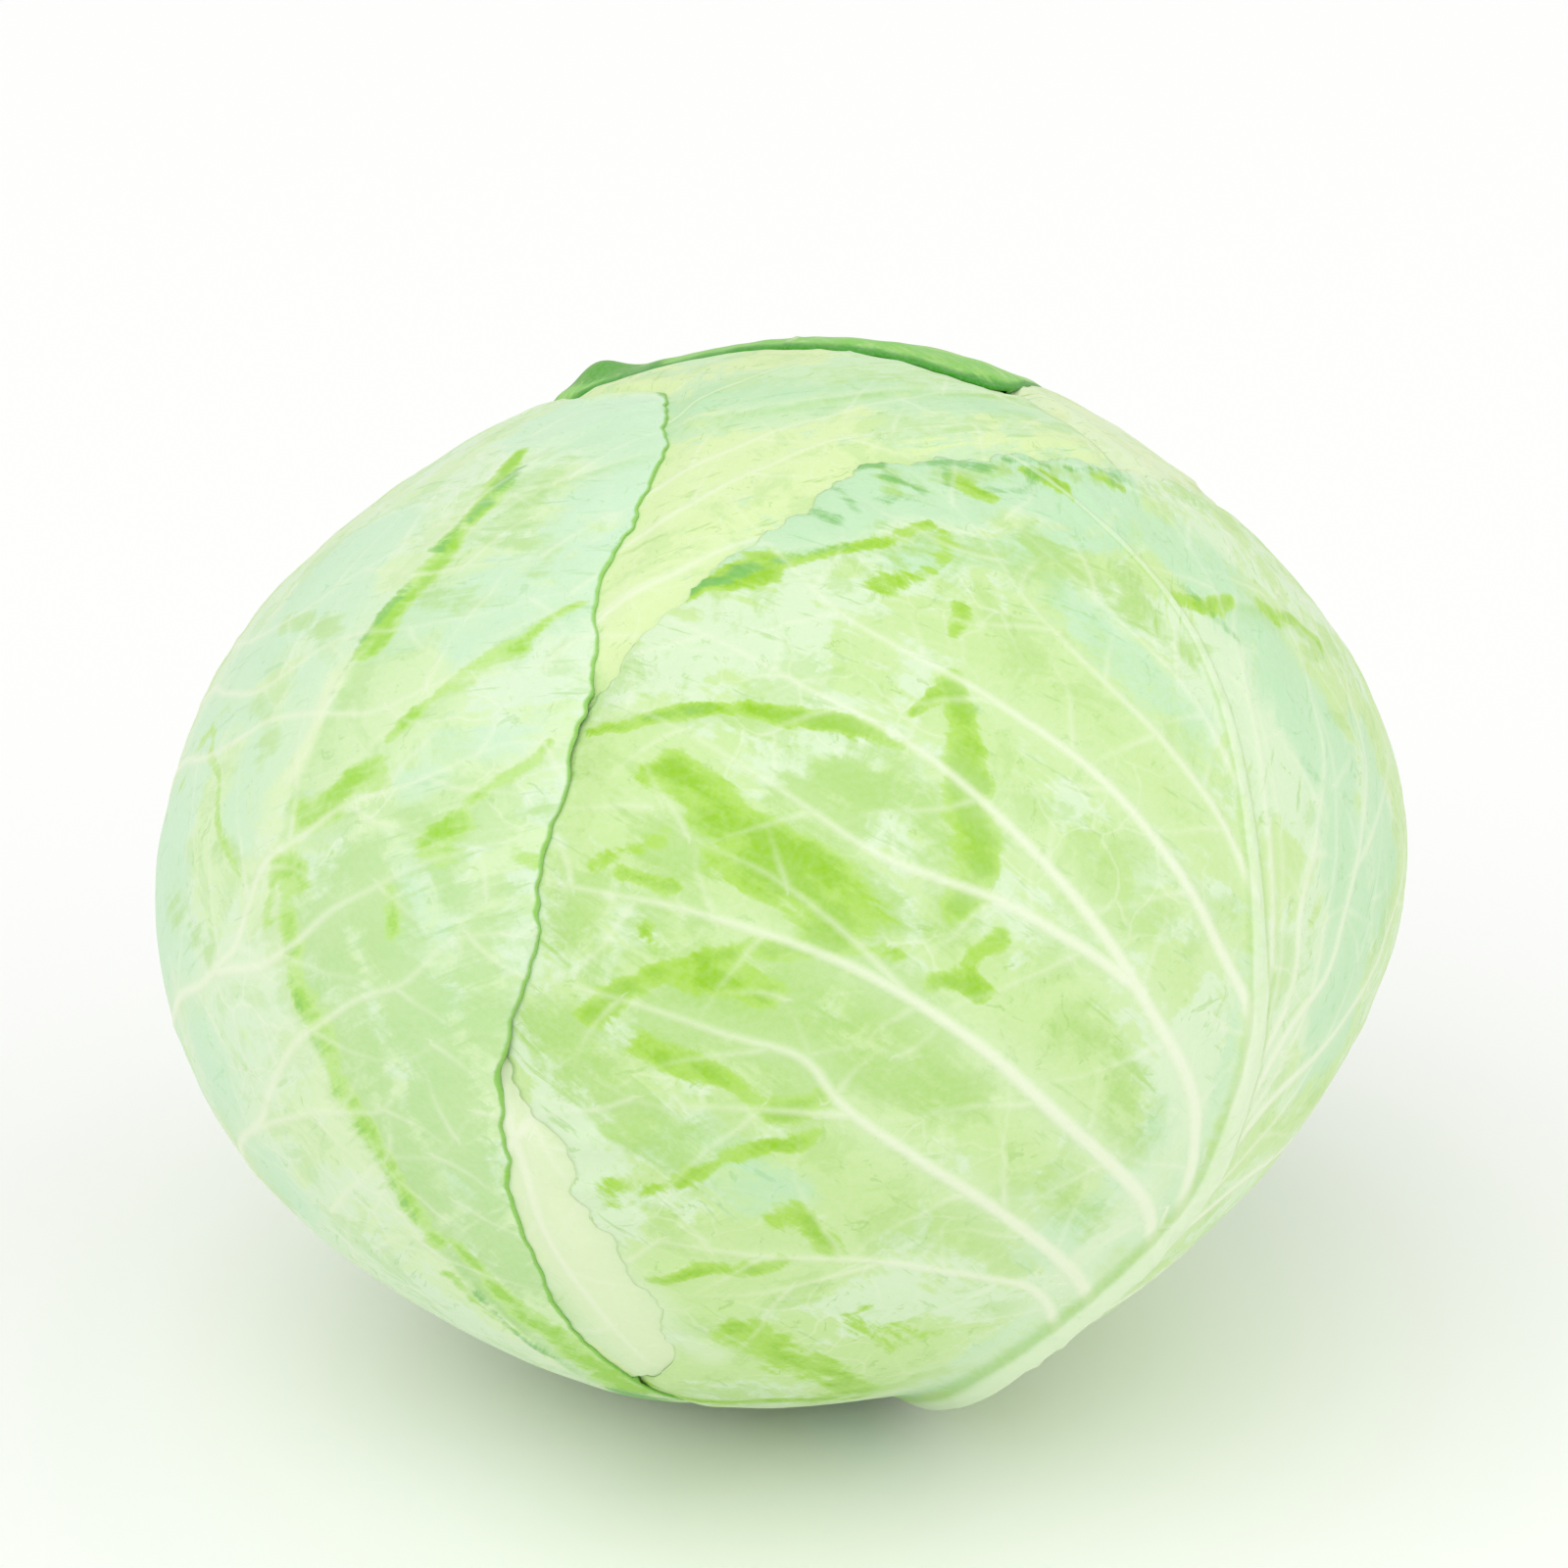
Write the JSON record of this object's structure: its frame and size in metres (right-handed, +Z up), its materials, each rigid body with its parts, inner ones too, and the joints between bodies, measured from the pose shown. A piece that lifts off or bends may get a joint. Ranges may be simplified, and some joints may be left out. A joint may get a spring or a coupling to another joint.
{
  "type": "cabbage head",
  "caption": "Round white cabbage head with pale green wrapper leaves lapped over one another, standing on its cut stem.",
  "frame": {"origin": "centre of the stem's cut face, which the head stands on", "axes": "+Z up the stem towards the top of the head, -Y towards the side where two wrapper leaves cross, so the outermost leaf is at -X"},
  "size_m": [0.2124, 0.2045, 0.1716],
  "materials": {
    "wrapper_leaf": "waxy satin leaf with raised pale veins",
    "head_leaf": "smooth satin pale leaf",
    "heart": "smooth pale packed leaves",
    "cut_stem": "pale fibrous cut stalk"
  },
  "bodies": {
    "root": {"leaf_01_left": "wrapper_leaf", "leaf_02_right": "wrapper_leaf", "leaf_03_back": "wrapper_leaf", "leaf_04_front": "head_leaf", "leaf_05_back_right": "head_leaf", "leaf_06_back_left": "head_leaf", "leaf_07_front_right": "head_leaf", "leaf_08_back_inner": "head_leaf", "heart": "heart", "stem": "cut_stem"}
  },
  "joints": []
}
